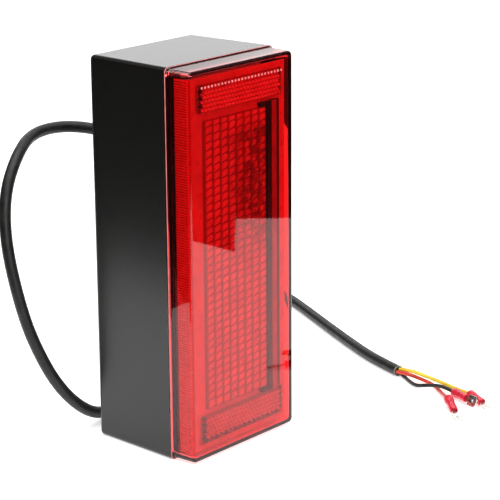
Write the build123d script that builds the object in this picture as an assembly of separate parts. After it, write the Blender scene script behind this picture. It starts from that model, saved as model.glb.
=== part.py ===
from build123d import *
import math
import os

# Low-profile box tail light for a trailer over 80 inches wide, standing on its lower end.
# X runs across the light, -Y is the way the lens faces, +Z is up. Millimetres.
# Origin: bottom centre of the light with its studs, without the cable.

# ---- driving dimensions -------------------------------------------------
height = 210.5
width = 84.0
housing_depth = 55.0
lens_depth = 16.0
stud_out = 25.0

side_draft = 2.6          # each long side leans in by this much at the back
corner_r = 2.6
wall = 2.6
lens_wall = 2.4

stud_r = 3.175            # 1/4 in thread
stud_spacing = 50.8       # 2 in
jacket_r = 3.25
wire_r = 1.1
board_lead_r = 0.9

# ---- places worked out from them ----------------------------------------
y_front = -(lens_depth + housing_depth + stud_out) / 2
y_join = y_front + lens_depth
y_back = y_join + housing_depth
y_floor = y_back - wall   # inner face of the back wall
mid_z = height / 2
panel_y = y_join + 3.0    # front face of the reflector panel
board_y = panel_y + 4.0   # front face of the circuit board
board_t = 1.6
window_y = y_front + lens_wall + 0.1   # where the inner optics start, behind the lens face

gland_x = 24.0
gland_z = 151.0
gland_out = 13.0
gland_tip_y = y_back + gland_out
inner_end_y = y_floor - 8.0   # the jacket ends here inside the housing

os.makedirs("parts", exist_ok=True)


def save(name, shape):
    export_step(shape, f"parts/{name}.step")


def facing(y):
    """A plane at this Y whose own x and y are the light's X and Z."""
    return Plane((0, y, 0), x_dir=(1, 0, 0), z_dir=(0, -1, 0))


def box(x0, x1, y0, y1, z0, z1):
    """A block between two corners."""
    centre = ((x0 + x1) / 2, (y0 + y1) / 2, (z0 + z1) / 2)
    return Pos(*centre) * Box(x1 - x0, y1 - y0, z1 - z0)


def rod_y(x, z, y0, y1, r):
    """A round bar along Y from y0 to y1."""
    return Pos(x, (y0 + y1) / 2, z) * Rot(90, 0, 0) * Cylinder(r, y1 - y0)


def outline(y, inset, r):
    """The light's front-view outline at this Y, pulled in by inset."""
    return facing(y) * Pos(0, mid_z) * RectangleRounded(width - 2 * inset, height - 2 * inset, r)


def drafted_block(y0, y1, inset, r):
    """A block of the outline whose long sides lean in towards the back, in flat faces."""
    half = [width / 2 - inset - side_draft * (y - y_join) / housing_depth for y in (y0, y1)]
    plan = Polyline((-half[0], y0), (half[0], y0), (half[1], y1), (-half[1], y1), close=True)
    block = Pos(0, 0, inset) * extrude(make_face(plan), height - 2 * inset)
    depth = y1 - y0
    long_edges = [e for e in block.edges() if e.bounding_box().size.Y > depth / 2]
    return fillet(long_edges, r)


def slab(y0, y1, inset, r):
    """A straight block of the outline, from y0 back to y1."""
    return extrude(outline(y1, inset, r), y1 - y0)


def ring(y0, y1, outer_inset, inner_inset, r):
    """A closed frame that follows the outline."""
    inner_r = max(r - (inner_inset - outer_inset), 0.8)
    return slab(y0, y1, outer_inset, r) - slab(y0 - 1, y1 + 1, inner_inset, inner_r)


# ---- housing ------------------------------------------------------------
collar_out = 4.6          # the tongue that the lens slides over
collar_inset = 3.4
collar_t = 1.8
rim_t = 6.0
rim_depth = 5.0
seal_inset = 1.3
seal_w = 1.6
seal_deep = 1.4
boss_r = 3.4
screw_r = 1.4
board_half_w = 29.0
board_bottom = 30.0
board_top = 182.0
board_holes = [(x, z) for x in (-25.0, 25.0) for z in (36.0, 176.0)]
clamp_half = 7.5
clamp_z = gland_z - 22.0
clamp_holes = [(gland_x + dx, clamp_z) for dx in (-clamp_half, clamp_half)]
vent_x, vent_z, vent_r = -22.0, 28.0, 4.0
stud_places = [(0, mid_z - stud_spacing / 2), (0, mid_z + stud_spacing / 2)]
stud_boss_r = 9.0
stud_boss_h = 4.0
gland_hole_r = 6.0
gland_flange_r = 8.0
vent_flange_r = 6.0
sink = 1.0                # how deep the two flanges are let into the back face
sink_gap = 0.2
neck_r = 3.6              # the studs' press-fit necks in the wall


def housing():
    shell = drafted_block(y_join, y_back, 0, corner_r)
    back_face = shell.faces().sort_by(Axis.Y)[-1]
    shell = fillet(back_face.edges(), corner_r - 0.2)
    shell -= drafted_block(y_join - 1, y_floor, wall, 2.0)
    shell += ring(y_join, y_join + rim_depth, 0.6, rim_t, corner_r - 0.6)
    shell += ring(y_join - collar_out, y_join + 1, collar_inset, collar_inset + collar_t, 2.2)
    shell -= ring(
        y_join - 0.01, y_join + seal_deep, seal_inset, seal_inset + seal_w, corner_r - seal_inset
    )
    for x, z in board_holes:
        shell += rod_y(x, z, board_y + board_t, y_floor + 1, boss_r)
        shell -= rod_y(x, z, board_y + board_t - 1, board_y + board_t + 12, screw_r)
    for x, z in clamp_holes:
        shell += rod_y(x, z, y_floor - 6, y_floor + 1, 3.0)
        shell -= rod_y(x, z, y_floor - 7, y_floor, screw_r)
    for x, z in stud_places:
        shell += rod_y(x, z, y_floor - stud_boss_h, y_floor + 1, stud_boss_r)
        shell -= rod_y(x, z, y_floor - 10, y_back + 1, neck_r)
    for x, z, hole_r, flange_r in (
        (gland_x, gland_z, gland_hole_r, gland_flange_r), (vent_x, vent_z, vent_r, vent_flange_r)
    ):
        shell -= rod_y(x, z, y_floor - 1, y_back + 1, hole_r)
        shell -= rod_y(x, z, y_back - sink, y_back + 1, flange_r + sink_gap)
    return shell


# ---- lens and what is set in it ------------------------------------------
flange_t = 2.0
flange_chamfer = 1.0
dome_inset = 0.9
front_inset = 1.1
dome_r = 3.0
front_edge_r = 1.5
skirt_inset = collar_inset - 0.2
reflex_x0, reflex_x1 = -31.4, 34.4
reflex_top_z = (187.0, 201.3)
reflex_bottom_z = (8.4, 24.0)
reflex_t = 2.0
optic_x0, optic_x1 = -26.7, 21.5
optic_z0, optic_z1 = 27.2, 182.2
optic_t = 2.2
optic_columns = 8
baffle_bars = [(21.7, 25.3), (30.0, 32.9)]
baffle_z0, baffle_z1 = 24.6, 184.6
baffle_return = 16.8


def lens():
    flange = slab(y_join - flange_t, y_join, 0, corner_r)
    flange = chamfer(flange.faces().sort_by(Axis.Y)[0].edges(), flange_chamfer)
    dome = loft(
        [outline(y_join - flange_t, dome_inset, dome_r), outline(y_front, front_inset, dome_r)]
    )
    front_face = dome.faces().sort_by(Axis.Y)[0]
    dome = fillet(front_face.edges(), front_edge_r)
    return flange + dome - slab(y_front + lens_wall, y_join + 1, skirt_inset, 2.4)


def reflex_reflector(z0, z1):
    """A corner-cube reflector tile, bevelled round its face."""
    tile = box(reflex_x0, reflex_x1, window_y, window_y + reflex_t, z0, z1)
    return chamfer(tile.faces().sort_by(Axis.Y)[-1].edges(), 0.6)


def pillow_optic():
    """The spreading optic: a plate with a row of long ribs moulded on its back."""
    plate = box(optic_x0, optic_x1, window_y, window_y + optic_t, optic_z0, optic_z1)
    pitch = (optic_x1 - optic_x0) / optic_columns
    for i in range(optic_columns):
        x = optic_x0 + (i + 0.5) * pitch
        plate += box(
            x - pitch * 0.3, x + pitch * 0.3, window_y + optic_t - 0.2, window_y + optic_t + 0.5,
            optic_z0 + 2, optic_z1 - 2,
        )
    return plate


def light_baffle():
    """The dark divider between the main chamber and the side chamber: two upright blades
    on one foot, with short returns at both ends."""
    blade_y = window_y + 0.2
    foot_y = panel_y - 1.6
    (a0, a1), (b0, b1) = baffle_bars
    part = box(a0, a1, blade_y, foot_y, baffle_z0, baffle_z1)
    part += box(b0, b1, blade_y + 1.5, foot_y, baffle_z0, baffle_z1)
    part += box(a0, b1, foot_y - 1.5, foot_y, baffle_z0, baffle_z1)
    for z0, z1 in ((baffle_z0, baffle_z0 + 2.4), (baffle_z1 - 2.0, baffle_z1)):
        part += box(baffle_return, a1, blade_y, foot_y, z0, z1)
    return part


# ---- reflector panel, boards and what is soldered to them ----------------
led_places = [(x, z) for x in (-18.0, 4.0) for z in (52.0, 79.0, 106.0, 133.0, 160.0)]
led_half = 2.7
led_t = 1.6
panel_inset = rim_t + 0.6
panel_t = 1.4
panel_hole_r = 6.5
component_y = board_y + board_t   # the board's back face
marker_x = -(width / 2 - panel_inset - 2.0)
marker_leds_z = (70.0, 105.0, 140.0)


def reflector_panel():
    panel = slab(panel_y, panel_y + panel_t, panel_inset, 2.0)
    for x, z in led_places:
        panel -= rod_y(x, z, panel_y - 1, panel_y + panel_t + 1, panel_hole_r)
    for x, z in led_places:
        cup = Pos(x, panel_y + panel_t / 2, z) * Rot(90, 0, 0) * Cylinder(panel_hole_r + 1.2, panel_t)
        cup -= rod_y(x, z, panel_y - 1, panel_y + panel_t + 1, panel_hole_r - 1.2)
        panel += cup
    return panel


def circuit_board():
    board = box(
        -board_half_w, board_half_w, board_y, board_y + board_t, board_bottom, board_top
    )
    for x, z in board_holes:
        board -= rod_y(x, z, board_y - 1, board_y + board_t + 1, 1.7)
    return board


def group(solids):
    return Compound(children=list(solids))


def leds():
    front = board_y - led_t
    return group(
        box(x - led_half, x + led_half, front, board_y, z - led_half, z + led_half)
        for x, z in led_places
    )


def led_domes():
    """A clear bead on each main light source."""
    beads = []
    for x, z in led_places:
        bead = Pos(x, board_y - led_t, z) * Sphere(2.0)
        beads.append(bead & box(x - 3, x + 3, board_y - led_t - 3, board_y - led_t, z - 3, z + 3))
    return group(beads)


def marker_board():
    return box(marker_x, marker_x + 1.2, y_join - 8.5, panel_y - 0.4, 60, 150)


def marker_leds():
    y = y_join - 4.0
    return group(
        box(marker_x - 1.1, marker_x, y - 1.5, y + 1.5, z - 1.8, z + 1.8) for z in marker_leds_z
    )


def resistors():
    return group(
        box(x - 1.6, x + 1.6, component_y, component_y + 1.0, z - 3.2, z + 3.2)
        for x in (-12.0, -4.0, 4.0) for z in (60.0, 72.0)
    )


def diodes():
    return group(
        box(x - 1.4, x + 1.4, component_y, component_y + 2.3, 118.0, 122.6) for x in (-14.0, -6.0)
    )


def driver_chip():
    return box(-14, -4, component_y, component_y + 4.5, 134, 143)


def capacitor():
    can = rod_y(-14, 158, component_y, component_y + 11, 4.0)
    return fillet(can.edges().sort_by(Axis.Y)[-1], 0.6)


def screw(x, z, head_y, head_r, shank):
    """A pan-head screw driven along +Y, its head's seat at head_y."""
    head = rod_y(x, z, head_y - 2.0, head_y, head_r)
    head = fillet(head.edges().sort_by(Axis.Y)[0], 0.7)
    cross = box(x - 1.6, x + 1.6, head_y - 2.1, head_y - 1.0, z - 0.35, z + 0.35)
    cross += box(x - 0.35, x + 0.35, head_y - 2.1, head_y - 1.0, z - 1.6, z + 1.6)
    return head + rod_y(x, z, head_y, head_y + shank, screw_r) - cross


# ---- cable entry ----------------------------------------------------------
lead_end_z = {"yellow": 146.0, "red": 140.0, "black": 134.0}
lead_colours = ("yellow", "red", "black")


def strain_relief():
    """A tapered rubber sleeve pushed into the back wall, with a flange on each face of it."""
    seat = y_back + 2.5
    body = rod_y(gland_x, gland_z, y_floor, y_back - sink, gland_hole_r)
    body += rod_y(gland_x, gland_z, y_back - sink, seat, gland_flange_r)
    body += rod_y(gland_x, gland_z, y_floor - 2.0, y_floor, 7.6)
    taper = loft([
        facing(seat) * Pos(gland_x, gland_z) * Circle(6.4),
        facing(gland_tip_y) * Pos(gland_x, gland_z) * Circle(jacket_r + 1.1),
    ])
    body += taper
    for k in range(3):
        y = seat + 2.2 + 2.9 * k
        r = 6.4 - (6.4 - jacket_r - 1.1) * (y - seat) / (gland_tip_y - seat)
        groove = rod_y(gland_x, gland_z, y, y + 1.2, r + 2) - rod_y(gland_x, gland_z, y, y + 1.2, r - 0.8)
        body -= groove
    return body - rod_y(gland_x, gland_z, y_floor - 3, gland_tip_y + 1, jacket_r)


def cable_inner():
    """The stretch of cable held in the strain relief and clamped inside the housing."""
    return rod_y(gland_x, gland_z, inner_end_y, gland_tip_y, jacket_r)


def board_leads():
    """The three cores inside the housing, from the cable's inner end to the board."""
    solids = {}
    for n, colour in enumerate(lead_colours):
        angle = math.radians(90 + 120 * n)
        x = gland_x + 1.5 * math.cos(angle)
        z = gland_z + 1.5 * math.sin(angle)
        end_x = 16.0 - 3.0 * n
        points = [
            (x, inner_end_y, z),
            (x, inner_end_y - 9, z),
            (end_x, inner_end_y - 15, lead_end_z[colour]),
            (end_x, component_y + 2.0, lead_end_z[colour]),
        ]
        solids[colour] = tube(points, board_lead_r)[0]
    return solids


def solder_pins():
    return group(
        box(
            13.0 - 3.0 * n + 1.9, 13.0 - 3.0 * n + 4.1, component_y, component_y + 2.0,
            lead_end_z[colour] - 1.1, lead_end_z[colour] + 1.1,
        )
        for n, colour in enumerate(lead_colours)
    )


def cable_bridge():
    """A bridge screwed over the cores to take the pull off the solder joints."""
    y0 = y_floor - 9.0
    bridge = box(
        gland_x - clamp_half - 3.0, gland_x + clamp_half + 3.0, y0, y0 + 3.0, clamp_z - 3, clamp_z + 3
    )
    for x, z in clamp_holes:
        bridge -= rod_y(x, z, y0 - 1, y0 + 4, screw_r + 0.2)
    return bridge


# ---- studs ----------------------------------------------------------------
plate_t = 2.0


def stud(z):
    """A plain stud from the back face out, with a thicker press-fit neck through the wall and
    a flat round head held behind the plate."""
    tip = y_back + stud_out
    head_y = y_floor - stud_boss_h - plate_t
    shaft = rod_y(0, z, y_back, tip, stud_r)
    shaft = chamfer(shaft.edges().sort_by(Axis.Y)[-1], 0.8)
    return shaft + rod_y(0, z, head_y, y_back, neck_r) + rod_y(0, z, head_y - 2.5, head_y, 7.0)


def stud_plate():
    y1 = y_floor - stud_boss_h
    z0 = stud_places[0][1] - 11
    z1 = stud_places[1][1] + 11
    plate = box(-10, 10, y1 - plate_t, y1, z0, z1)
    for x, z in stud_places:
        plate -= rod_y(x, z, y1 - plate_t - 1, y1 + 1, neck_r)
    return plate


def vent_plug():
    """A rubber plug whose flange lies flush with the back face."""
    plug = rod_y(vent_x, vent_z, y_floor - 1.5, y_back - sink, vent_r)
    plug += rod_y(vent_x, vent_z, y_back - sink, y_back, vent_flange_r)
    return plug - rod_y(vent_x, vent_z, y_floor - 3, y_back - 0.6, 1.2)


# ---- free cable, its cores and their terminals -----------------------------
lying = jacket_r + 0.05   # height of the cable's centre where it lies down
jacket_route = [
    (gland_x, gland_tip_y, gland_z),
    (24, 64, 151), (6, 84, 157), (-21, 88, 157), (-49, 72, 149), (-63, 66, 132),
    (-68, 61, 109), (-68, 54, 82), (-63, 49, 55), (-54, 38, 26), (-31, 35, 5),
    (-4, 41, lying), (22, 52, lying), (56, 74, lying), (93, 102, lying), (127, 129, lying),
    (158, 146, lying), (187, 147, lying), (209, 130, lying), (214, 103, lying), (198, 72, lying),
    (176, 32, lying), (156, -6, lying), (147, -26, lying), (140, -47, lying),
]
core_ring = 1.35          # how far each core's centre is from the cable's
core_angles = {"yellow": 60, "red": 180, "black": 300}

core_gap = 0.35           # keeps a core's slanted end off the faces it meets
# Points of each core after the one at the cable's cut end; the last is its terminal's mouth.
core_routes = {
    "yellow": [
        (139.6, -56.4, 5.9), (138.9, -65.0, 5.3), (139.3, -73.0, 4.3), (138.9, -80.6, 3.6),
        (137.6, -88.0, 3.1), (136.4, -94.8, 3.0), (135.1, -101.3, 3.0),
    ],
    "red": [
        (138.2, -55.4, 3.9), (139.2, -64.2, 2.4), (138.6, -73.6, 1.2), (131.9, -83.0, 1.2),
        (123.6, -91.6, 2.9), (117.4, -98.5, 4.9),
    ],
    "black": [
        (138.9, -52.4, 1.15), (133.9, -59.8, 1.2), (130.2, -67.2, 1.5), (131.0, -74.6, 3.3),
        (132.2, -82.0, 4.5), (132.8, -88.0, 3.6), (132.0, -92.6, 2.9),
    ],
}
# Where each terminal's tab points, and how far the tab is rolled from lying flat, in degrees.
terminal_aim = {
    "yellow": ((-0.45, -0.89, -0.02), 8),
    "red": ((-0.64, -0.75, -0.17), -12),
    "black": ((-0.44, -0.89, 0.08), 66),
}
sleeve_len = 14.0
sleeve_r = 2.35
mouth_r = 2.75
tab_w, tab_t, tab_len = 6.3, 0.8, 8.5
neck_w, neck_len = 3.2, 2.5
tab_hole_r = 0.9


def tube(points, r):
    """A round tube along straight runs joined by tangent arcs, with the arcs' radii and its length."""
    vectors = [Vector(*p) for p in points]
    radii = []
    for a, b, c in zip(vectors, vectors[1:], vectors[2:]):
        turn = math.radians((b - a).get_angle(c - b))
        shorter = min((b - a).length, (c - b).length)
        radii.append(0.45 * shorter / math.tan(turn / 2))
    path = FilletPolyline(*vectors, radius=radii)
    section = Plane(origin=path @ 0, z_dir=path % 0) * Circle(r)
    solid = sweep(section, path=path)
    return solid, radii, path.length


def cut_end():
    """The cable's cut end: its centre, its direction, and the level sideways direction."""
    end = Vector(*jacket_route[-1])
    aim = (end - Vector(*jacket_route[-2])).normalized()
    return end, aim, Vector(-aim.Y, aim.X, 0).normalized()


def core_points(colour):
    end, aim, side = cut_end()
    angle = math.radians(core_angles[colour])
    first = end + aim * core_gap
    first += side * (core_ring * math.cos(angle)) + Vector(0, 0, core_ring * math.sin(angle))
    return [tuple(first)] + core_routes[colour]


def terminal_plane(colour):
    """A plane at the terminal's mouth: z along the terminal, x across its tab."""
    aim, roll = terminal_aim[colour]
    aim = Vector(*aim).normalized()
    across = Vector(0, 0, 1).cross(aim).normalized()
    mouth = Vector(*core_routes[colour][-1]) + aim * core_gap
    plane = Plane(origin=mouth, x_dir=across, z_dir=aim)
    return plane * Rot(0, 0, roll)


def terminal_sleeve():
    """A funnel mouth and a straight barrel, closed round the crimp."""
    profile = Polyline(
        (0, 0), (mouth_r, 0), (mouth_r, 3.5), (sleeve_r, 5.5), (sleeve_r, sleeve_len), (0, sleeve_len),
        close=True,
    )
    turned = revolve(Plane.XZ * make_face(profile), Axis.Z)
    return turned


def terminal_tab():
    start = sleeve_len
    neck = Pos(0, 0, start + neck_len / 2) * Box(neck_w, tab_t, neck_len)
    tab = Pos(0, 0, start + neck_len + tab_len / 2) * Box(tab_w, tab_t, tab_len)
    tip = [e for e in tab.edges().filter_by(Axis.Y) if e.center().Z > start + neck_len + 1]
    tab = chamfer(tip, 1.2)
    hole = Pos(0, 0, start + neck_len + tab_len * 0.55) * Rot(90, 0, 0) * Cylinder(tab_hole_r, 4)
    return neck + tab - hole


def report_tube(name, radii, length, solid, r):
    share = solid.volume / (math.pi * r * r * length)
    tightest = min(radii)
    print(f"{name}: length {length:.1f}, tightest arc {tightest:.1f}, volume share {share:.4f}")


# ---- write every piece ------------------------------------------------------
save("housing", housing())
save("lens", lens())
save("lens_seal", ring(
    y_join + 0.1, y_join + seal_deep, seal_inset, seal_inset + seal_w, corner_r - seal_inset
))
save("reflex_reflector_top", reflex_reflector(*reflex_top_z))
save("reflex_reflector_bottom", reflex_reflector(*reflex_bottom_z))
save("pillow_optic", pillow_optic())
save("light_baffle", light_baffle())
save("reflector_panel", reflector_panel())
save("circuit_board", circuit_board())
save("main_leds", leds())
save("led_domes", led_domes())
save("marker_board", marker_board())
save("marker_leds", marker_leds())
save("resistors", resistors())
save("diodes", diodes())
save("driver_chip", driver_chip())
save("capacitor", capacitor())
save("board_screws", group(screw(x, z, board_y, 3.0, 10.0) for x, z in board_holes))
save("strain_relief", strain_relief())
save("cable_inner", cable_inner())
for colour, solid in board_leads().items():
    save(f"board_lead_{colour}", solid)
save("solder_pins", solder_pins())
save("cable_bridge", cable_bridge())
save("bridge_screws", group(screw(x, z, y_floor - 9.0, 2.6, 8.0) for x, z in clamp_holes))
save("stud_plate", stud_plate())
save("stud_lower", stud(stud_places[0][1]))
save("stud_upper", stud(stud_places[1][1]))
save("vent_plug", vent_plug())

jacket, jacket_radii, jacket_length = tube(jacket_route, jacket_r)
report_tube("cable_jacket", jacket_radii, jacket_length, jacket, jacket_r)
save("cable_jacket", jacket)
for colour in lead_colours:
    core, core_radii, core_length = tube(core_points(colour), wire_r)
    report_tube(f"wire_{colour}", core_radii, core_length, core, wire_r)
    save(f"wire_{colour}", core)
    place = terminal_plane(colour)
    save(f"terminal_sleeve_{colour}", place * terminal_sleeve())
    save(f"terminal_tab_{colour}", place * terminal_tab())
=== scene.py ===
import math

import bpy
from mathutils import Matrix, Vector


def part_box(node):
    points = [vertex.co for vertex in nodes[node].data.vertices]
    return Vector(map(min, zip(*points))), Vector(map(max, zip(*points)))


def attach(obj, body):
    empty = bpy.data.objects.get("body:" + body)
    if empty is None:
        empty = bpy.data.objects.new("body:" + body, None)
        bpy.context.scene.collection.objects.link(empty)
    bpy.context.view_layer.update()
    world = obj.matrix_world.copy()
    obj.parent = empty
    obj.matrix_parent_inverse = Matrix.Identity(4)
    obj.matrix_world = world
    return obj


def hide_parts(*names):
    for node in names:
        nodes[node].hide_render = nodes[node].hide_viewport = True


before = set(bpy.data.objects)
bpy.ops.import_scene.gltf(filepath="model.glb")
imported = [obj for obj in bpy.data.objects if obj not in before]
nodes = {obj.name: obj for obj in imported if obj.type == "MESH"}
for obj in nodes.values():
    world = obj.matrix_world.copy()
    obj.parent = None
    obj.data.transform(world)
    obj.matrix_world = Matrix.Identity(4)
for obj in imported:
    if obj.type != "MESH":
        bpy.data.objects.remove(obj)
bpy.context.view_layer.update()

mm = 0.001

# ---- sizes, in metres ------------------------------------------------------------
# X runs across the light, -Y is the way the lens faces, +Z is up.
lens_lo, lens_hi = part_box("lens")
half_width = lens_hi.x
height = lens_hi.z
y_front = lens_lo.y
y_join = lens_hi.y
y_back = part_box("housing")[1].y

# the lens's section, as in the part
lens_wall = 2.4 * mm
flange_t = 2.0 * mm
flange_chamfer = 1.0 * mm
dome_inset = 0.9 * mm
front_inset = 1.1 * mm
front_edge_r = 1.5 * mm
skirt_inset = 3.2 * mm
corner_r = 2.6 * mm
dome_r = 3.0 * mm
bead_rise = 0.2 * mm          # the row of beads stands this far out of the lens face
y_face = y_front + bead_rise

# ---- camera ----------------------------------------------------------------------
camera_place = Vector((-0.7666, -0.7116, 0.4026))
camera_azimuth, camera_elevation, camera_roll = -49.31, 16.14, -0.40
camera_lens, camera_sensor = 144.94, 36.0


def camera_basis(azimuth, elevation, roll):
    """The camera's right, up and back directions."""
    a, e, r = (math.radians(v) for v in (azimuth, elevation, roll))
    back = Vector((math.sin(a) * math.cos(e), -math.cos(a) * math.cos(e), math.sin(e)))
    level_right = Vector((0, 0, 1)).cross(back).normalized()
    level_up = back.cross(level_right)
    right = math.cos(r) * level_right + math.sin(r) * level_up
    up = -math.sin(r) * level_right + math.cos(r) * level_up
    return right, up, back


def add_camera():
    data = bpy.data.cameras.new("camera")
    data.lens = camera_lens
    data.sensor_width = camera_sensor
    data.clip_start = 0.01
    camera = bpy.data.objects.new("camera", data)
    bpy.context.scene.collection.objects.link(camera)
    basis = camera_basis(camera_azimuth, camera_elevation, camera_roll)
    camera.matrix_world = Matrix.Translation(camera_place) @ Matrix(basis).transposed().to_4x4()
    bpy.context.scene.camera = camera


add_camera()

# ---- building blocks for materials ------------------------------------------------


noise_low, noise_high = 0.35, 0.65   # where noise is cut off before it is put to a span


class Finish:
    """A Principled material, with short ways to add nodes in front of it."""

    def __init__(self, name, colour, roughness, **sockets):
        self.material = bpy.data.materials.new(name)
        self.material.use_nodes = True
        self.tree = self.material.node_tree
        self.shader = self.tree.nodes["Principled BSDF"]
        self.output = self.tree.nodes["Material Output"]
        self.shader.inputs["Base Color"].default_value = (*colour, 1)
        self.shader.inputs["Roughness"].default_value = roughness
        for socket, value in sockets.items():
            self.shader.inputs[socket.replace("_", " ")].default_value = value
        self.place = self.tree.nodes.new("ShaderNodeTexCoord").outputs["Object"]

    def add(self, kind, settings=None, **inputs):
        node = self.tree.nodes.new(kind)
        for key, value in (settings or {}).items():
            setattr(node, key, value)
        for key, value in inputs.items():
            self.set(node.inputs[key.replace("_", " ")], value)
        return node

    def set(self, socket, value):
        if isinstance(value, bpy.types.NodeSocket):
            self.tree.links.new(value, socket)
        else:
            socket.default_value = value

    def stretched(self, x, y, z):
        """The place, scaled by axis."""
        node = self.add("ShaderNodeMapping", Vector=self.place)
        node.inputs["Scale"].default_value = (x, y, z)
        return node.outputs["Vector"]

    def noise(self, size, detail, place=None):
        """Noise whose features are about this many metres across."""
        node = self.add(
            "ShaderNodeTexNoise", Vector=place or self.place, Scale=1 / size, Detail=detail
        )
        return node.outputs["Fac"]

    def span(self, value, low, high, out_low, out_high, smooth=False):
        """value from low..high put to out_low..out_high."""
        kind = "SMOOTHSTEP" if smooth else "LINEAR"
        node = self.add("ShaderNodeMapRange", {"interpolation_type": kind})
        for socket, v in zip(node.inputs, (value, low, high, out_low, out_high)):
            self.set(socket, v)
        return node.outputs["Result"]

    def math(self, operation, a, b):
        node = self.add("ShaderNodeMath", {"operation": operation})
        self.set(node.inputs[0], a)
        self.set(node.inputs[1], b)
        return node.outputs[0]

    def mix(self, share, a, b):
        """Colour a where share is 0, and b where it is 1."""
        node = self.add("ShaderNodeMix", {"data_type": "RGBA"})
        self.set(node.inputs["Factor"], share)
        self.set(node.inputs[6], a if isinstance(a, bpy.types.NodeSocket) else (*a, 1))
        self.set(node.inputs[7], b if isinstance(b, bpy.types.NodeSocket) else (*b, 1))
        return node.outputs[2]

    def drift(self, dark, light, size, detail):
        """A colour that drifts between two tones."""
        share = self.span(self.noise(size, detail), noise_low, noise_high, 0, 1)
        return self.mix(share, dark, light)

    def axes(self):
        """The place's X, Y and Z."""
        return self.add("ShaderNodeSeparateXYZ", Vector=self.place).outputs

    def colour(self, value):
        self.set(self.shader.inputs["Base Color"], value)

    def roughness(self, value):
        self.set(self.shader.inputs["Roughness"], value)

    def bump(self, relief, depth, strength=1.0):
        """relief 0..1 as a surface this many metres deep."""
        node = self.add("ShaderNodeBump", Height=relief, Distance=depth, Strength=strength)
        before = self.shader.inputs["Normal"]
        if before.is_linked:
            self.set(node.inputs["Normal"], before.links[0].from_socket)
        self.set(before, node.outputs["Normal"])


def mottled(finish, dark, light, size):
    finish.colour(finish.drift(dark, light, size, 4))


def uneven_gloss(finish, low, high, size):
    finish.roughness(finish.span(finish.noise(size, 4), noise_low, noise_high, low, high))


# ---- sizes that the optics' meshes and materials share -----------------------------
optic_lo, optic_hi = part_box("pillow_optic")
reflex_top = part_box("reflex_reflector_top")
reflex_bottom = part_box("reflex_reflector_bottom")
baffle_lo, baffle_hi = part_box("light_baffle")
columns = 8
rows = 38
pillow_rise = 1.1 * mm
pillow_back = 0.1 * mm        # from the optic's front to the cushions' crests
cube_step = 0.65 * mm         # how much further back each ring of a corner cube lies
cube_back = 0.15 * mm         # from a tile's front to its cubes' rims
rib_crest_x = -half_width + skirt_inset + 0.15 * mm
rib_depth = 0.65 * mm

# ---- materials ---------------------------------------------------------------------


def housing_finish():
    """Black moulded plastic with a fine spark-eroded grain."""
    f = Finish("housing_black", (0.0035, 0.0034, 0.003), 0.26, Specular_IOR_Level=0.5)
    mottled(f, (0.0025, 0.0024, 0.0021), (0.0050, 0.0047, 0.0040), 0.8 * mm)
    uneven_gloss(f, 0.20, 0.27, 0.9 * mm)
    f.bump(f.noise(0.5 * mm, 2), 0.008 * mm)
    f.bump(f.noise(1.3 * mm, 2), 0.009 * mm)
    return f.material


def moulded_dark(name, dark, light, roughness):
    f = Finish(name, light, roughness)
    mottled(f, dark, light, 8 * mm)
    uneven_gloss(f, roughness - 0.06, roughness + 0.08, 5 * mm)
    f.bump(f.noise(0.6 * mm, 2), 0.03 * mm)
    return f.material


def lens_finish():
    """Clear red polycarbonate. Lamps reach what is behind it through a tinted stand-in."""
    f = Finish("lens_red", (0.90, 0.10, 0.105), 0.02, IOR=1.5, Transmission_Weight=1.0)
    f.bump(f.noise(18 * mm, 1), 0.02 * mm, 0.4)
    clear = f.add("ShaderNodeBsdfTransparent", Color=(0.97, 0.52, 0.52, 1))
    lamp = f.add("ShaderNodeLightPath").outputs["Is Shadow Ray"]
    blend = f.add("ShaderNodeMixShader", Fac=lamp)
    f.set(blend.inputs[1], f.shader.outputs["BSDF"])
    f.set(blend.inputs[2], clear.outputs["BSDF"])
    f.set(f.output.inputs["Surface"], blend.outputs["Shader"])
    return f.material


def optic_finish(name, deep, bright, roughness, size):
    """Solid red moulded optic, glossy, with a little drift in tone."""
    f = Finish(name, bright, roughness, IOR=1.5)
    mottled(f, deep, bright, size)
    uneven_gloss(f, roughness, roughness + 0.12, 4 * mm)
    f.bump(f.noise(0.5 * mm, 2), 0.02 * mm)
    return f.material


def pillow_finish():
    """The spreading optic: bright crests, painted shade in its valleys, and a broken patch of painted
    shadow on its upper right.
    """
    shade_x = (-16 * mm, 8 * mm)
    shade_foot, shade_head = (96 * mm, 128 * mm), (170 * mm, 178 * mm)
    f = Finish("optic_pillow", (0.90, 0.06, 0.07), 0.12, IOR=1.5)
    bright = f.drift((0.60, 0.11, 0.11), (0.76, 0.15, 0.15), 11 * mm, 3)
    crest = optic_lo.y + pillow_back
    # the valleys, further back, are darkened: painted shade in the grooves between the cushions
    share = f.span(f.axes()["Y"], crest + pillow_rise * 0.30, crest + pillow_rise, 0, 1, True)
    crests_and_painted_valley_shade = f.mix(share, bright, (0.30, 0.02, 0.022))
    # a noisy patch of painted shadow from the light baffle over the optic's upper right
    across = f.span(f.axes()["X"], *shade_x, 0, 1, True)
    upper = f.span(f.axes()["Z"], *shade_foot, 0, 1, True)
    top = f.span(f.axes()["Z"], *shade_head, 1, 0, True)
    patch = f.span(f.noise(4.0 * mm, 2), 0.38, 0.58, 0.25, 1.0)
    shade = f.math("MULTIPLY", f.math("MULTIPLY", across, upper), f.math("MULTIPLY", patch, 0.9))
    shade = f.math("MULTIPLY", shade, top)
    f.colour(f.mix(shade, crests_and_painted_valley_shade, (0.16, 0.010, 0.012)))
    uneven_gloss(f, 0.10, 0.22, 4 * mm)
    f.bump(f.noise(0.6 * mm, 2), 0.015 * mm)
    return f.material


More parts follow.
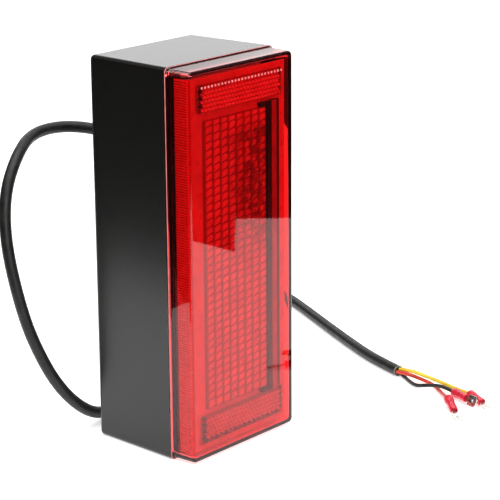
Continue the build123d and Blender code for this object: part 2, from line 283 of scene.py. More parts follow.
def zigzag_border(f):
    """1 in a dark toothed line down both tiles' ends and along the lower tile's foot."""
    tooth_size, border = 1.9 * mm, 1.2 * mm
    x, _, z = f.axes()
    left = f.math("SUBTRACT", x, reflex_top[0].x)
    right = f.math("SUBTRACT", reflex_top[1].x, x)
    foot = f.math("SUBTRACT", z, reflex_bottom[0].z)
    edge = f.math("MINIMUM", f.math("MINIMUM", left, right), foot)
    tooth = f.math("PINGPONG", f.math("ADD", x, z), tooth_size)
    reach = f.math("ADD", f.math("MULTIPLY", tooth, 1.5), border)
    depth = f.math("SUBTRACT", reach, edge)
    inner = f.math("SUBTRACT", edge, f.math("MULTIPLY", tooth, 0.9))
    inside = f.math("GREATER_THAN", depth, 0.0)
    return f.math("MULTIPLY", inside, f.math("GREATER_THAN", inner, 0.0))


def reflex_finish():
    """Corner-cube tile: each cube darkens towards its corner as painted shade, and the tone drifts a
    little.
    """
    f = Finish("optic_reflex", (0.75, 0.09, 0.09), 0.10, IOR=1.5)
    bright = f.drift((0.54, 0.09, 0.09), (0.72, 0.12, 0.12), 6 * mm, 3)
    rim = reflex_top[0].y + cube_back
    # deeper in each cube, darker: painted shade in the cube's corner
    share = f.span(f.axes()["Y"], rim + 0.25 * mm, rim + 2 * cube_step, 0, 1)
    cubes = f.mix(share, bright, (0.34, 0.02, 0.024))
    f.colour(f.mix(zigzag_border(f), cubes, (0.05, 0.008, 0.008)))
    uneven_gloss(f, 0.08, 0.2, 4 * mm)
    return f.material


def liner_finish():
    """Plain moulded red behind the lens face."""
    f = Finish("optic_liner", (0.90, 0.06, 0.07), 0.30, IOR=1.5)
    mottled(f, (0.62, 0.11, 0.11), (0.76, 0.15, 0.15), 12 * mm)
    uneven_gloss(f, 0.25, 0.4, 5 * mm)
    f.bump(f.noise(0.8 * mm, 2), 0.02 * mm)
    return f.material


def ribbed_finish():
    """The same red with a dark line of painted shade in each valley between the level ribs."""
    f = Finish("optic_ribs", (0.95, 0.08, 0.08), 0.22, IOR=1.5)
    bright = f.drift((0.86, 0.13, 0.13), (0.95, 0.16, 0.16), 9 * mm, 3)
    # towards each valley floor the red darkens: painted shade in the creases between the ribs
    share = f.span(f.axes()["X"], rib_crest_x + 0.2 * mm, rib_crest_x + rib_depth, 0, 1)
    f.colour(f.mix(share, bright, (0.50, 0.02, 0.022)))
    uneven_gloss(f, 0.18, 0.3, 4 * mm)
    f.bump(f.noise(0.5 * mm, 2), 0.015 * mm)
    return f.material


def rubber_finish(name, dark, light, roughness):
    """Extruded rubbery plastic: a faint drift in tone, matte bloom and fine pits."""
    f = Finish(name, light, roughness, Specular_IOR_Level=0.4)
    mottled(f, dark, light, 5 * mm)
    uneven_gloss(f, roughness - 0.08, roughness + 0.1, 3 * mm)
    f.bump(f.noise(0.35 * mm, 2), 0.03 * mm)
    f.bump(f.noise(4 * mm, 1), 0.08 * mm)
    return f.material


def metal_finish(name, dark, light, roughness, grain):
    """Plated metal with streaks drawn along one axis."""
    f = Finish(name, light, roughness, Metallic=1.0)
    mottled(f, dark, light, 3 * mm)
    streaks = f.noise(1.0, 2, f.stretched(*grain))
    f.roughness(f.span(streaks, 0.3, 0.7, roughness - 0.08, roughness + 0.14))
    f.bump(streaks, 0.02 * mm)
    return f.material


def board_finish():
    """Green solder mask over faint copper tracks."""
    f = Finish("board_green", (0.02, 0.16, 0.07), 0.35)
    tracks = f.add(
        "ShaderNodeTexBrick", {"offset": 0.5, "squash": 0.6}, Vector=f.place, Scale=90.0
    )
    tracks.inputs["Mortar Size"].default_value = 0.012
    f.colour(f.mix(tracks.outputs["Fac"], (0.015, 0.12, 0.05), (0.05, 0.26, 0.11)))
    uneven_gloss(f, 0.28, 0.45, 4 * mm)
    return f.material


def clear_finish():
    f = Finish("led_clear", (0.95, 0.94, 0.88), 0.06, IOR=1.45, Transmission_Weight=0.8)
    f.bump(f.noise(1 * mm, 2), 0.01 * mm)
    return f.material


finishes = {
    "housing": housing_finish(),
    "lens": lens_finish(),
    "pillow": pillow_finish(),
    "reflex": reflex_finish(),
    "liner": liner_finish(),
    "ribs": ribbed_finish(),
    # pale pink beads: a painted highlight on domes that also catch real reflections
    "bead": optic_finish("optic_bead_painted_highlight", (0.60, 0.15, 0.16), (0.76, 0.26, 0.26), 0.25, 3 * mm),
    # pale pink: a painted highlight along the edge of the lens's flange
    "weld": optic_finish("lens_flange_painted_highlight", (0.66, 0.24, 0.22), (0.82, 0.36, 0.33), 0.35, 4 * mm),
    # dark red: painted shade for the gap between the baffle's blades
    "stripe": optic_finish("optic_stripe_painted_shade", (0.30, 0.022, 0.026), (0.42, 0.035, 0.04), 0.35, 6 * mm),
    "baffle": moulded_dark("baffle_black", (0.006, 0.005, 0.005), (0.014, 0.012, 0.012), 0.40),
    "seal": moulded_dark("seal_rubber", (0.02, 0.02, 0.02), (0.035, 0.034, 0.033), 0.70),
    "reflector": optic_finish("reflector_white", (0.72, 0.72, 0.70), (0.82, 0.82, 0.80), 0.30, 10 * mm),
    "board": board_finish(),
    "led": optic_finish("led_body", (0.80, 0.74, 0.48), (0.88, 0.84, 0.66), 0.35, 2 * mm),
    "led_clear": clear_finish(),
    "component": moulded_dark("component_dark", (0.02, 0.02, 0.024), (0.04, 0.04, 0.045), 0.45),
    "can": metal_finish("component_can", (0.55, 0.56, 0.58), (0.68, 0.69, 0.71), 0.28, (900, 200, 900)),
    "zinc": metal_finish("steel_zinc", (0.58, 0.58, 0.55), (0.76, 0.76, 0.72), 0.26, (900, 120, 900)),
    "cable": rubber_finish("cable_black", (0.006, 0.006, 0.006), (0.012, 0.0115, 0.011), 0.42),
    "cut": rubber_finish("cable_cut", (0.16, 0.15, 0.14), (0.26, 0.25, 0.23), 0.60),
    "yellow": rubber_finish("core_yellow", (0.80, 0.56, 0.03), (0.92, 0.72, 0.06), 0.30),
    "red": rubber_finish("core_red", (0.58, 0.045, 0.025), (0.72, 0.07, 0.04), 0.32),
    "black": rubber_finish("core_black", (0.012, 0.012, 0.012), (0.022, 0.021, 0.020), 0.34),
    "sleeve": optic_finish("sleeve_red", (0.60, 0.012, 0.035), (0.76, 0.025, 0.055), 0.16, 4 * mm),
    "tinned": metal_finish("tinned_brass", (0.62, 0.61, 0.58), (0.82, 0.80, 0.76), 0.20, (260, 260, 900)),
}

carried_over = {
    "housing": "housing", "lens_seal": "seal", "light_baffle": "baffle",
    "reflector_panel": "reflector", "circuit_board": "board", "main_leds": "led",
    "led_domes": "led_clear", "marker_board": "board", "marker_leds": "led",
    "resistors": "component", "diodes": "component", "driver_chip": "component",
    "capacitor": "can", "board_screws": "zinc", "cable_inner": "cable",
    "board_lead_yellow": "yellow", "board_lead_red": "red", "board_lead_black": "black",
    "solder_pins": "tinned", "cable_bridge": "baffle", "bridge_screws": "zinc",
    "stud_plate": "zinc", "vent_plug": "cable",
}
for node_name, finish_name in carried_over.items():
    slots = nodes[node_name].data.materials
    slots.clear()
    slots.append(finishes[finish_name])

# ---- building blocks for meshes -------------------------------------------------------


def piece(name, verts, faces, finish, slot, sharp=30, place=Matrix.Identity(4)):
    """A smooth-shaded mesh that rides on the light, with edges over sharp degrees kept hard."""
    data = bpy.data.meshes.new(name)
    data.from_pydata([place @ Vector(v) for v in verts], [], faces)
    data.validate()
    data.materials.append(finishes[finish])
    data.shade_smooth()
    data.set_sharp_from_angle(angle=math.radians(sharp))
    obj = bpy.data.objects.new(name, data)
    bpy.context.scene.collection.objects.link(obj)
    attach(obj, "root")
    return obj


def skin(loops, first_cap=False, last_cap=False, closed=True):
    """Vertices and faces of a surface through loops of equal length. closed joins last to first."""
    count = len(loops[0])
    verts = [v for loop in loops for v in loop]
    faces = []
    pairs = len(loops) if closed else len(loops) - 1
    for i in range(pairs):
        a, b = i * count, (i + 1) % len(loops) * count
        for j in range(count):
            k = (j + 1) % count
            faces.append((a + j, a + k, b + k, b + j))
    if first_cap:
        faces.append(tuple(range(count))[::-1])
    if last_cap:
        faces.append(tuple(range(len(verts) - count, len(verts))))
    return verts, faces


def turned(profile, steps=48, dent=None):
    """A turned form about Z. profile is a list of (z, radius); dent(z, angle) is taken off it."""
    loops = []
    for z, r in profile:
        loop = []
        for j in range(steps):
            angle = 2 * math.pi * j / steps
            rr = r - (dent(z, angle) if dent else 0)
            loop.append((rr * math.cos(angle), rr * math.sin(angle), z))
        loops.append(loop)
    return skin(loops, True, True, closed=False)


def rounded_outline(inset, r, y, steps=8):
    """A loop round the light's front-view outline at y."""
    x1, z0, z1 = half_width - inset, inset, height - inset
    corners = ((x1 - r, z0 + r, -90), (x1 - r, z1 - r, 0), (-x1 + r, z1 - r, 90), (-x1 + r, z0 + r, 180))
    loop = []
    for x, z, start in corners:
        for i in range(steps + 1):
            angle = math.radians(start + 90 * i / steps)
            loop.append((x + r * math.cos(angle), y, z + r * math.sin(angle)))
    return loop


def out_of_back(lo, hi):
    """A place on the back face in the middle of this box, its z pointing out of the back."""
    middle = Matrix.Translation(((lo.x + hi.x) / 2, y_back, (lo.z + hi.z) / 2))
    return middle @ Matrix.Rotation(math.radians(-90), 4, "X")


def arc(centre_inset, centre_y, r, start, end, steps):
    """(inset, y) points on an arc; angle 0 points outwards and -90 to the front."""
    points = []
    for i in range(steps + 1):
        angle = math.radians(start + (end - start) * i / steps)
        points.append((centre_inset - r * math.cos(angle), centre_y + r * math.sin(angle)))
    return points


# ---- lens -------------------------------------------------------------------------------


def lens_shell():
    """The one-piece lens: chamfered welding flange, drafted sides, rounded front and an open back."""
    step_y = y_join - flange_t
    ease = 0.2 * mm
    profile = [(0, y_join, corner_r), (0, step_y + flange_chamfer + ease, corner_r)]
    profile += [(ease / 2, step_y + flange_chamfer, corner_r)]
    profile += [(dome_inset - ease / 2, step_y + ease, dome_r), (dome_inset, step_y - ease, dome_r)]
    profile += [
        (i, y, dome_r + front_inset - i)
        for i, y in arc(front_inset + front_edge_r, y_face + front_edge_r, front_edge_r, 0, -90, 8)
    ]
    # a loop just inside each rounded edge keeps the flat faces' normals straight
    hold = 0.25 * mm
    profile += [(front_inset + front_edge_r + hold, y_face, dome_r - front_edge_r - hold)]
    front = len(profile) - 1
    inner_y = y_front + lens_wall
    inner_r = 0.6 * mm
    inner_corners = (1.4 * mm, 2.0 * mm, 2.4 * mm)   # at the inner face, its edge and the open back
    profile += [(skirt_inset + inner_r + hold, inner_y, inner_corners[0])]
    profile += [
        (i, y, inner_corners[1])
        for i, y in arc(skirt_inset + inner_r, inner_y + inner_r, inner_r, -90, 0, 4)
    ]
    profile += [(skirt_inset, y_join, inner_corners[2])]
    loops = [rounded_outline(inset, r, y) for inset, y, r in profile]
    count = len(loops[0])
    verts, faces = skin(loops)
    # the front is closed twice, outside and inside, so the band between those two loops is dropped
    bridge = set(range(front * count, (front + 1) * count))
    inside = set(range((front + 1) * count, (front + 2) * count))
    faces = [f for f in faces if not (set(f) & bridge and set(f) & inside)]
    faces.append(tuple(sorted(bridge)))
    faces.append(tuple(sorted(inside, reverse=True)))
    obj = piece("lens_shell", verts, faces, "lens", "lens_red")
    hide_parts("lens")


lens_shell()


def block(x0, x1, y0, y1, z0, z1, ease=0.0):
    """Vertices and faces of a block, its front edges eased."""
    front = [
        (x0 + ease, y0, z0 + ease), (x1 - ease, y0, z0 + ease), (x1 - ease, y0, z1 - ease),
        (x0 + ease, y0, z1 - ease),
    ]
    side = [(x0, y0 + ease, z0), (x1, y0 + ease, z0), (x1, y0 + ease, z1), (x0, y0 + ease, z1)]
    back = [(x0, y1, z0), (x1, y1, z0), (x1, y1, z1), (x0, y1, z1)]
    loops = [front, side, back] if ease else [front, back]
    return skin(loops, True, True, closed=False)


def joined(parts):
    """Several (vertices, faces) as one."""
    verts, faces = [], []
    for v, f in parts:
        faces += [tuple(i + len(verts) for i in face) for face in f]
        verts += v
    return verts, faces


# ---- optics behind the lens face ------------------------------------------------------------


def pillow_column(x0, x1):
    """One column of the spreading optic: cushions whose lower edges rise in an arc, like scales."""
    across, per_row = 8, 6
    row_h = (optic_hi.z - optic_lo.z) / rows
    crest_y = optic_lo.y + pillow_back
    rim_y = optic_hi.y - 0.8 * mm
    verts = []
    for i in range(rows * per_row + 1):
        v = i / per_row
        ends = min(1.0, v, rows - v)
        for j in range(across + 1):
            u = j / across
            lift = 0.36 * math.sqrt(1 - (1 - u) ** 2) * ends
            z = optic_lo.z + min(v + lift, rows) * row_h
            rise = abs(math.sin(math.pi * u)) ** 0.6 * abs(math.sin(math.pi * v)) ** 0.5
            verts.append((x0 + (x1 - x0) * u, crest_y + pillow_rise * (1 - rise), z))
    width = across + 1
    height_steps = rows * per_row
    faces = [
        (i * width + j, i * width + j + 1, (i + 1) * width + j + 1, (i + 1) * width + j)
        for i in range(height_steps) for j in range(across)
    ]
    rim = list(range(width)) + [i * width + across for i in range(1, height_steps + 1)]
    rim += [height_steps * width + j for j in range(across - 1, -1, -1)]
    rim += [i * width for i in range(height_steps - 1, 0, -1)]
    start = len(verts)
    verts += [(verts[i][0], rim_y, verts[i][2]) for i in rim]
    for k in range(len(rim)):
        n = (k + 1) % len(rim)
        faces.append((rim[n], rim[k], start + k, start + n))
    faces.append(tuple(range(start, start + len(rim)))[::-1])
    return verts, faces


def pillow_field():
    """The spreading optic: columns of small cushions, a groove apart, on one plate."""
    pitch = (optic_hi.x - optic_lo.x) / columns
    groove = 0.34 * mm
    plate_t = 0.9 * mm
    parts = [
        pillow_column(optic_lo.x + i * pitch + groove / 2, optic_lo.x + (i + 1) * pitch - groove / 2)
        for i in range(columns)
    ]
    parts.append(
        block(optic_lo.x, optic_hi.x, optic_hi.y - plate_t, optic_hi.y, optic_lo.z, optic_hi.z)
    )
    obj = piece("pillow_optic_field", *joined(parts), "pillow", "optic_red", sharp=50)
    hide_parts("pillow_optic")


pillow_field()

cell = 2.6 * mm            # corner cubes, flat to flat
cell_r = cell / math.sqrt(3)


def cube_cells(lo, hi):
    """Whole corner-cube cells that fit in the tile, as vertices and faces."""
    shallow, middle = lo.y + cube_back, lo.y + cube_back + cube_step
    deep = middle + cube_step
    verts, faces = [], []
    across = int((hi.x - lo.x - cell / 2) / cell)
    pitch_z = 1.5 * cell_r
    up = int((hi.z - lo.z - 0.5 * cell_r) / pitch_z)
    x_start = (lo.x + hi.x) / 2 - (across - 0.5) * cell / 2
    z_start = (lo.z + hi.z) / 2 - (up - 1) * pitch_z / 2
    for row in range(up):
        for col in range(across):
            cx = x_start + (col + 0.5 * (row % 2)) * cell
            cz = z_start + row * pitch_z
            base = len(verts)
            verts.append((cx, deep, cz))
            for k in range(6):
                angle = math.radians(90 + 60 * k)
                y = middle if k % 2 else shallow
                verts.append((cx + cell_r * math.cos(angle), y, cz + cell_r * math.sin(angle)))
            for k in (1, 3, 5):
                a, b, c = base + k + 1, base + (k + 1) % 6 + 1, base + (k + 2) % 6 + 1
                faces.append((base, a, b, c))
    return verts, faces


def reflex_tile(name, node, box):
    """A tile of corner cubes in front of a plain backing."""
    lo, hi = box
    backing_t = 0.5 * mm
    cells = cube_cells(lo, hi)
    backing = block(lo.x, hi.x, hi.y - backing_t, hi.y, lo.z, hi.z, 0.1 * mm)
    obj = piece(name, *joined([cells, backing]), "reflex", "optic_red", sharp=15)
    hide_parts(node)


reflex_tile("reflex_tile_top", "reflex_reflector_top", reflex_top)
reflex_tile("reflex_tile_bottom", "reflex_reflector_bottom", reflex_bottom)


def bead_row():
    """Small round beads along the top edge of the upper reflector, just proud of the lens face. Their
    domes catch real reflections, and their pale pink is a painted highlight.
    """
    bead_r, bead_root = 0.60 * mm, 0.5 * mm
    count = 25
    margin_left, margin_right, margin_top = 0.6 * mm, 3.0 * mm, 1.0 * mm
    x0, x1 = reflex_top[0].x + margin_left, reflex_top[1].x - margin_right
    z = reflex_top[1].z - margin_top
    profile = [(-bead_root, bead_r), (0.0, bead_r)]
    profile += [
        (bead_rise * math.sin(math.radians(a)), bead_r * math.cos(math.radians(a)))
        for a in (15, 35, 55, 75)
    ]
    dome = turned(profile, 16)
    parts = []
    for k in range(count):
        x = x0 + (x1 - x0) * k / (count - 1)
        place = Matrix.Translation((x, y_face, z)) @ Matrix.Rotation(math.radians(90), 4, "X")
        parts.append(([tuple(place @ Vector(v)) for v in dome[0]], dome[1]))
    piece("reflex_bead_row", *joined(parts), "bead", "lens_red", sharp=60)


bead_row()


def painted_flange_highlight():
    """A pale band round the edge of the lens's flange, where it is welded to the housing: a painted
    highlight along that edge.
    """
    y0 = y_join - flange_t + flange_chamfer - 0.05 * mm
    y1 = y0 + 0.5 * mm
    depth = 0.3 * mm
    profile = [(0, y0), (0, y1), (depth, y1), (depth, y0)]
    loops = [rounded_outline(inset, corner_r, y) for inset, y in profile]
    piece("lens_flange_painted_highlight_line", *skin(loops), "weld", "lens_red", sharp=40)


painted_flange_highlight()

# ---- the baffle's blades and returns, and the margin that is slotted for them ---------------
bar_gap = 4.7 * mm            # between the baffle's two blades
bar_wide, bar_narrow = 3.6 * mm, 2.9 * mm
bar_right = baffle_hi.x - bar_narrow
bar_mid = bar_right - bar_gap
bar_left = bar_mid - bar_wide
return_low, return_high = 2.4 * mm, 2.0 * mm
slot_ease = 0.15 * mm


def lens_liner():
    """The frosted margin behind the optics, slotted for the baffle, and a dark sheet of painted
    shade between the baffle's blades."""
    sheet_t = 0.6 * mm
    y0 = optic_hi.y + 0.15 * mm
    y1 = y0 + sheet_t
    x_side = half_width - skirt_inset - 0.3 * mm
    z_low, z_high = skirt_inset + 1.6 * mm, height - skirt_inset - 2.8 * mm
    foot, head = baffle_lo.z - slot_ease, baffle_hi.z + slot_ease
    slot_low, slot_high = baffle_lo.z + return_low + slot_ease, baffle_hi.z - return_high - slot_ease
    parts = [
        block(-x_side, x_side, y0, y1, z_low, foot),
        block(-x_side, x_side, y0, y1, head, z_high),
        block(-x_side, baffle_lo.x - slot_ease, y0, y1, foot, head),
        block(baffle_lo.x - slot_ease, bar_left - slot_ease, y0, y1, slot_low, slot_high),
        block(baffle_hi.x + slot_ease, x_side, y0, y1, foot, head),
    ]
    piece("lens_margin", *joined(parts), "liner", "lens_red")
    # a dark sheet set back between the blades, painting the shade that falls in that gap
    stripe_y = optic_lo.y + 0.35 * mm
    stripe_right = bar_right - 0.6 * mm
    stripe = block(
        bar_mid + slot_ease, stripe_right, stripe_y, stripe_y + sheet_t, foot, head, 0.1 * mm
    )
    piece("lens_margin_painted_shade_stripe", *stripe, "stripe", "lens_red")


lens_liner()


def lens_side_ribs():
    """Fine level ribs inside the left wall of the lens, in front of the housing's tongue."""
    crest, valley, back = rib_crest_x, rib_crest_x + rib_depth, rib_crest_x + 1.0 * mm
    y0, y1 = y_front + lens_wall + 0.4 * mm, y_join - 4.8 * mm
    pitch = 1.35 * mm
    count = int((height - 2 * skirt_inset - 4 * mm) / pitch)
    start = (height - count * pitch) / 2
    line = []
    for i in range(count):
        z = start + i * pitch
        line += [(valley, z), (crest, z + 0.3 * pitch), (crest, z + 0.8 * pitch)]
    line.append((valley, start + count * pitch))
    line += [(back, line[-1][1]), (back, start)]
    front = [(x, y0, z) for x, z in line]
    rear = [(x, y1, z) for x, z in line]
    verts, faces = skin([front, rear], True, True, closed=False)
    piece("lens_side_ribs", verts, faces, "ribs", "lens_red", sharp=20)


lens_side_ribs()

# ---- free cable: the route's points from the part, in millimetres --------------------------
jacket_r = 3.25
wire_r = 1.1
lying = jacket_r + 0.05
jacket_route = [
    (24, 36, 151), (24, 64, 151), (6, 84, 157), (-21, 88, 157), (-49, 72, 149), (-63, 66, 132),
    (-68, 61, 109), (-68, 54, 82), (-63, 49, 55), (-54, 38, 26), (-31, 35, 5), (-4, 41, lying),
    (22, 52, lying), (56, 74, lying), (93, 102, lying), (127, 129, lying), (158, 146, lying),
    (187, 147, lying), (209, 130, lying), (214, 103, lying), (198, 72, lying), (176, 32, lying),
    (156, -6, lying), (147, -26, lying), (140, -47, lying),
]
core_ring = 1.35
core_angles = {"yellow": 60, "red": 180, "black": 300}
core_gap = 0.35
core_routes = {
    "yellow": [
        (139.6, -56.4, 5.9), (138.9, -65.0, 5.3), (139.3, -73.0, 4.3), (138.9, -80.6, 3.6),
        (137.6, -88.0, 3.1), (136.4, -94.8, 3.0), (135.1, -101.3, 3.0),
    ],
    "red": [
        (138.2, -55.4, 3.9), (139.2, -64.2, 2.4), (138.6, -73.6, 1.2), (131.9, -83.0, 1.2),
        (123.6, -91.6, 2.9), (117.4, -98.5, 4.9),
    ],
    "black": [
        (138.9, -52.4, 1.15), (133.9, -59.8, 1.2), (130.2, -67.2, 1.5), (131.0, -74.6, 3.3),
        (132.2, -82.0, 4.5), (132.8, -88.0, 3.6), (132.0, -92.6, 2.9),
    ],
}
terminal_aim = {
    "yellow": ((-0.45, -0.89, -0.02), 8),
    "red": ((-0.64, -0.75, -0.17), -12),
    "black": ((-0.44, -0.89, 0.08), 66),
}


def cord_curve(name, route, radius, finish, node):
    """A round cord along one smooth NURBS spline with the route's points as its control points."""
    data = bpy.data.curves.new(name, "CURVE")
    data.dimensions = "3D"
    data.resolution_u = 10
    data.bevel_depth = radius * mm
    data.bevel_resolution = 8
    data.use_fill_caps = True
    spline = data.splines.new("NURBS")
    spline.points.add(len(route) - 1)
    for point, place in zip(spline.points, route):
        point.co = (place[0] * mm, place[1] * mm, place[2] * mm, 1)
    spline.order_u = 3
    spline.use_endpoint_u = True
    data.materials.append(finishes[finish])
    obj = bpy.data.objects.new(name, data)
    bpy.context.scene.collection.objects.link(obj)
    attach(obj, "root")
    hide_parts(node)
    return obj


def cut_end():
    """The cable's cut end: its centre, its direction, and the level sideways direction."""
    end = Vector(jacket_route[-1])
    aim = (end - Vector(jacket_route[-2])).normalized()
    return end, aim, Vector((-aim.y, aim.x, 0)).normalized()


def core_points(colour):
    end, aim, side = cut_end()
    angle = math.radians(core_angles[colour])
    first = end + aim * core_gap
    first += side * (core_ring * math.cos(angle)) + Vector((0, 0, core_ring * math.sin(angle)))
    return [tuple(first)] + core_routes[colour]


def terminal_place(colour):
    """Where a terminal's mouth is: z along the terminal, x across its tab, in metres."""
    aim, roll = terminal_aim[colour]
    aim = Vector(aim).normalized()
    across = Vector((0, 0, 1)).cross(aim).normalized()
    mouth = (Vector(core_routes[colour][-1]) + aim * core_gap) * mm
    axes = Matrix((across, aim.cross(across), aim)).transposed().to_4x4()
    return Matrix.Translation(mouth) @ axes @ Matrix.Rotation(math.radians(roll), 4, "Z")


def scaled(profile):
    """A profile in millimetres, in metres."""
    return [(z * mm, r * mm) for z, r in profile]


def crimp(z, angle):
    """Two pressed bands on the flats of a terminal's barrel."""
    places, depth, round_share = (8.3, 11.6), 0.42, 0.25
    band = sum(math.exp(-(z / mm - at) ** 2) for at in places)
    flat = max(0.0, math.sin(angle) ** 2 - round_share) / (1 - round_share)
    return depth * mm * band * flat


def terminal_sleeve(colour):
    """A crimp terminal's insulating sleeve: a funnel mouth and a barrel pressed in two places."""
    barrel_start, barrel_end, barrel_r = 5.6, 13.2, 2.35
    steps = 26
    profile = scaled([
        (3.6, 1.05), (2.0, 1.35), (0.6, 2.20), (0.12, 2.48), (0.0, 2.60), (0.12, 2.71), (0.45, 2.75),
        (1.6, 2.74), (3.4, 2.72), (4.1, 2.62), (4.8, 2.46),
    ])
    barrel = barrel_end - barrel_start
    profile += scaled([(barrel_start + barrel * i / steps, barrel_r) for i in range(steps + 1)])
    profile += scaled([(13.7, 2.28), (13.95, 2.1), (14.0, 1.85), (13.9, 1.7), (13.2, 1.6)])
    verts, faces = turned(profile, 40, crimp)
    obj = piece(f"sleeve_{colour}", verts, faces, "sleeve", "sleeve_red", 40, terminal_place(colour))
    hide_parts(f"terminal_sleeve_{colour}")
    return obj


tab_t = 0.8 * mm


def terminal_tab(colour):
    """A flat stamped tab with rounded edges and one small hole, on a narrower neck."""
    neck, half, start, shoulder, tip = 1.6, 3.15, 13.3, 16.5, 25.0
    chamfer, fold = 1.2, 0.4
    right = [
        (neck, start), (neck, shoulder - fold), (neck + fold, shoulder), (half - fold, shoulder),
        (half, shoulder + fold), (half, tip - chamfer), (half - chamfer, tip),
    ]
    outline = right + [(-x, z) for x, z in reversed(right)]
    hole_z, hole_r, hole_steps = shoulder + (tip - shoulder) * 0.55, 0.9, 24
    turns = [2 * math.pi * k / hole_steps for k in range(hole_steps)]
    hole = [(hole_r * math.cos(turn), hole_z + hole_r * math.sin(turn)) for turn in turns]
    data = bpy.data.curves.new("tab", "CURVE")
    data.dimensions = "2D"
    data.fill_mode = "BOTH"
    edge = 0.12 * mm
    data.extrude = tab_t / 2 - edge
    data.bevel_depth = edge
    data.bevel_resolution = 2
    data.offset = -edge
    for loop in (outline, hole):
        spline = data.splines.new("POLY")
        spline.points.add(len(loop) - 1)
        spline.use_cyclic_u = True
        for point, (x, z) in zip(spline.points, loop):
            point.co = (x * mm, z * mm, 0, 1)
    source = bpy.data.objects.new("tab_source", data)
    mesh = bpy.data.meshes.new_from_object(source)
    verts = [(v.co.x, -v.co.z, v.co.y) for v in mesh.vertices]
    faces = [tuple(p.vertices) for p in mesh.polygons]
    bpy.data.objects.remove(source)
    obj = piece(f"tab_{colour}", verts, faces, "tinned", "tinned_brass", 40, terminal_place(colour))
    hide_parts(f"terminal_tab_{colour}")
    return obj


def jacket_mouth():
    """The cut face of the jacket, a pale ring round the three cores."""
    end, aim, side = cut_end()
    up = aim.cross(side)
    place = Matrix.Translation(end * mm) @ Matrix((side, up, aim)).transposed().to_4x4()
    profile = scaled([
        (-0.5, 3.27), (0.05, 3.28), (0.25, 3.15), (0.28, 2.9), (0.18, 2.6), (0.02, 2.5), (-0.5, 2.5),
    ])
    return piece("jacket_cut_face", *turned(profile), "cut", "cable_black", 50, place)


def gland():
    """The strain relief: a flange let into the back, a taper with three rounded grooves."""
    lo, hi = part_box("strain_relief")
    inner = (lo.y - y_back) / mm
    base, base_r, tip, tip_r = 2.5, 6.4, 13.0, 4.35
    taper_start, taper_length, steps = 2.7, 9.9, 60
    grooves, groove_half_width, groove_depth = (5.3, 8.2, 11.1), 0.55, 0.75
    profile = [(inner, 3.3), (inner, 7.3), (inner + 0.3, 7.6), (inner + 1.9, 7.5), (inner + 2.0, 6.0)]
    profile += [(-1.0, 6.0), (-1.0, 8.0), (1.9, 8.0), (2.3, 7.85), (2.5, 7.4), (2.55, 6.6)]
    for k in range(steps):
        t = taper_start + taper_length * k / (steps - 1)
        taper = base_r - (base_r - tip_r) * (t - base) / (tip - base)
        groove = sum(math.exp(-((t - at) / groove_half_width) ** 2) for at in grooves)
        profile.append((t, taper - groove_depth * min(groove, 1)))
    profile += [(12.85, 4.28), (13.0, 4.0), (13.0, 3.45), (12.8, 3.28)]
    place = out_of_back(lo, hi)
    obj = piece("strain_relief_boot", *turned(scaled(profile)), "cable", "cable_black", 35, place)
    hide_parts("strain_relief")
    return obj


jacket = cord_curve("cable_jacket_cord", jacket_route, jacket_r, "cable", "cable_jacket")
gland()
jacket_mouth()
for colour in ("yellow", "red", "black"):
    core_route = core_points(colour)
    core = cord_curve(f"core_{colour}", core_route, wire_r, colour, f"wire_{colour}")
    terminal_sleeve(colour)
    terminal_tab(colour)

# ---- studs -------------------------------------------------------------------------------------
thread_pitch = 1.27           # mm, 20 threads to the inch


def stud(name, node):
    """A zinc-plated stud: flat head and press-fit neck inside, rolled thread outside."""
    lo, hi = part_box(node)
    head = (lo.y - y_back) / mm
    reach = (hi.y - y_back) / mm
    head_r, head_t, neck_r = 7.0, 2.5, 3.6
    crest, root, steps = 3.17, 2.52, 32
    tip_r, tip_length = root - 0.15, 1.2
    rings = [
        (head, head_r - 0.4), (head + 0.3, head_r), (head + head_t - 0.2, head_r),
        (head + head_t, head_r - 0.3), (head + head_t, neck_r), (0.0, neck_r), (0.0, 3.1),
    ]
    loops = [
        [(r * math.cos(2 * math.pi * j / steps), r * math.sin(2 * math.pi * j / steps), t)
         for j in range(steps)]
        for t, r in rings
    ]
    start, end, per_turn = 0.6, reach - 0.1, 8
    count = int((end - start) / thread_pitch * per_turn)
    for i in range(count + 1):
        t = start + (end - start) * i / count
        tip_share = min(1.0, max(0.0, (reach - t) / tip_length))
        loop = []
        for j in range(steps):
            turn = (t / thread_pitch - j / steps) % 1.0
            ridge = min(1.0, max(0.0, 2.4 * (0.5 - abs(turn - 0.5))))
            r = root + (crest - root) * ridge
            r = min(r, tip_r + (crest - tip_r) * tip_share)
            angle = 2 * math.pi * j / steps
            loop.append((r * math.cos(angle), r * math.sin(angle), t))
        loops.append(loop)
    verts, faces = skin(loops, True, True, closed=False)
    place = out_of_back(lo, hi) @ Matrix.Scale(mm, 4)
    obj = piece(name, verts, faces, "zinc", "steel_zinc", 35, place)
    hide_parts(node)


stud("threaded_stud_lower", "stud_lower")
stud("threaded_stud_upper", "stud_upper")

# ---- floor and light -----------------------------------------------------------------------------


def staged(name, verts, faces, colour, roughness):
    f = Finish(name, colour, roughness)
    data = bpy.data.meshes.new(name)
    data.from_pydata(verts, [], faces)
    data.materials.append(f.material)
    obj = bpy.data.objects.new(name, data)
    bpy.context.scene.collection.objects.link(obj)
    return obj


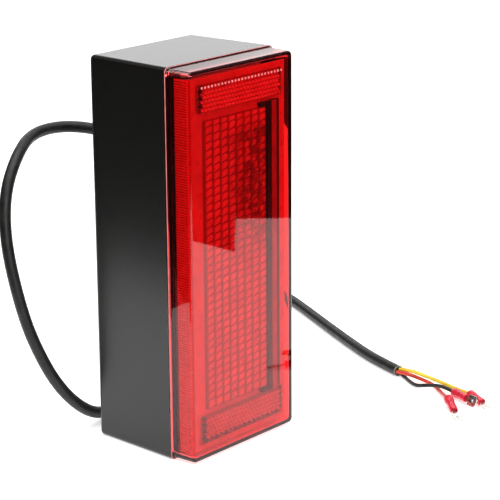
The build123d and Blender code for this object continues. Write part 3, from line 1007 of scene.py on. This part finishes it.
def add_floor():
    reach = 8.0
    corners = [(-reach, -reach, 0), (reach, -reach, 0), (reach, reach, 0), (-reach, reach, 0)]
    floor = staged("floor", corners, [(0, 1, 2, 3)], (0.92, 0.92, 0.915), 0.8)
    shader = floor.data.materials[0].node_tree.nodes["Principled BSDF"]
    shader.inputs["Specular IOR Level"].default_value = 0.0
    shader.inputs["Emission Color"].default_value = (1, 1, 1, 1)
    shader.inputs["Emission Strength"].default_value = 0.55


surround_rise, surround_low_rise = 0.40, 0.15
surround_high_walls = 5       # from the first corner on; the rest are low
surround_corners = [
    (-0.262, 0.60), (-0.262, -0.60), (0.291, -0.60), (0.2775, -0.296), (0.346, -0.3545),
    (0.63, -0.05), (0.63, 0.60),
]


def add_dark_surround():
    """Low dark walls round the light, seen only in reflections and through clear plastic."""
    parts = []
    for i, a in enumerate(surround_corners):
        b = surround_corners[(i + 1) % len(surround_corners)]
        rise = surround_rise if i < surround_high_walls else surround_low_rise
        parts.append(([(*a, 0.0), (*b, 0.0), (*b, rise), (*a, rise)], [(0, 1, 2, 3)]))
    verts, faces = joined(parts)
    wall = staged("surround", verts, faces, (0.01, 0.01, 0.01), 0.9)
    wall.visible_camera = False
    wall.visible_diffuse = False
    wall.visible_shadow = False


def area_light(name, place, aim, size, power):
    data = bpy.data.lights.new(name, "AREA")
    data.shape = "RECTANGLE"
    data.size, data.size_y = size
    data.energy = power
    lamp = bpy.data.objects.new(name, data)
    lamp.location = place
    lamp.rotation_euler = (Vector(aim) - Vector(place)).to_track_quat("-Z", "Y").to_euler()
    lamp.visible_camera = False
    bpy.context.scene.collection.objects.link(lamp)


def add_world(strength):
    world = bpy.data.worlds.new("studio")
    world.use_nodes = True
    background = world.node_tree.nodes["Background"]
    background.inputs["Color"].default_value = (1, 1, 1, 1)
    background.inputs["Strength"].default_value = strength
    bpy.context.scene.world = world


add_floor()
add_dark_surround()
add_world(strength=0.22)
area_light("overhead", place=(0.0, 0.0, 1.3), aim=(0, 0, 0.1), size=(1.6, 1.6), power=20)
area_light("front_left", place=(-0.9, -1.6, 1.0), aim=(0, 0, 0.1), size=(1.2, 0.9), power=20)
area_light("back", place=(1.75, 1.3, 0.80), aim=(0, 0, 0.2), size=(2.6, 1.2), power=15.5)
bpy.context.scene.view_settings.view_transform = "Standard"
